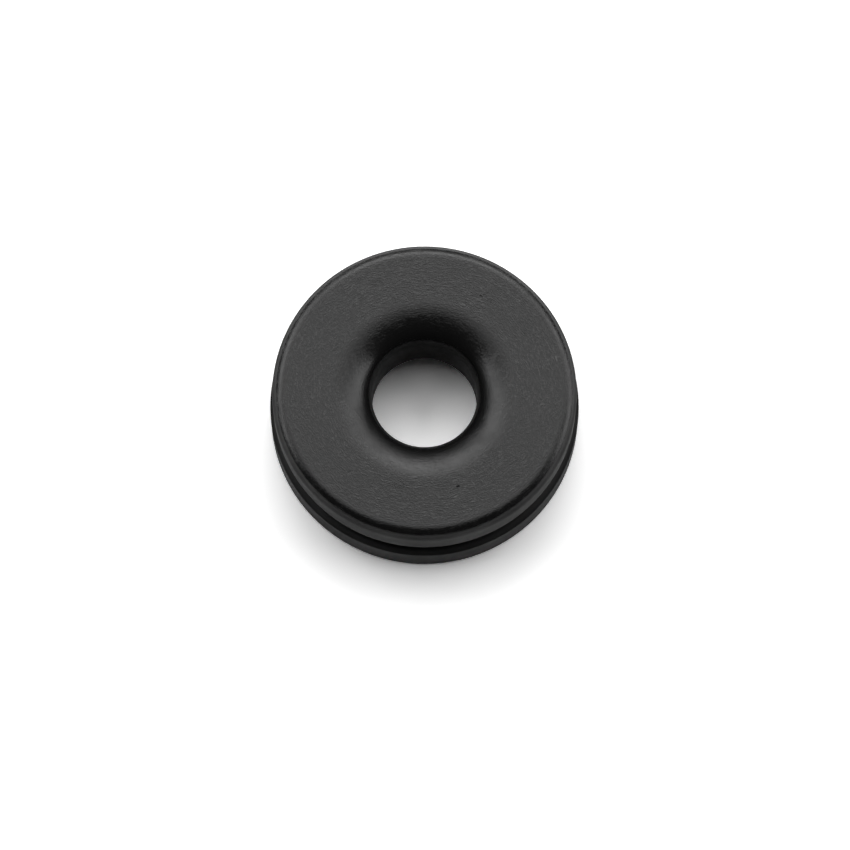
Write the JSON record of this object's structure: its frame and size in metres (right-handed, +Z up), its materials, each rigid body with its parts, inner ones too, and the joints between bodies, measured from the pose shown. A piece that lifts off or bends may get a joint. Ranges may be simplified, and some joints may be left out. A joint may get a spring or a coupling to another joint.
{
  "type": "rubber grommet gasket",
  "caption": "Round rubber grommet gasket with a straight bore, a smooth rounded mouth on each face and a groove round its side that grips a panel's edge.",
  "frame": {"origin": "centre of the lower face, on the axis of the bore, on the surface that the gasket rests on", "axes": "+Z up along the bore, out of the upper face with the rounded rim; X and Y are equal because the body is round"},
  "size_m": [0.0226, 0.0224, 0.0072],
  "materials": {
    "rubber": "matt black moulded rubber with a fine wrinkled skin"
  },
  "bodies": {
    "root": {"gasket": "rubber"}
  },
  "joints": []
}
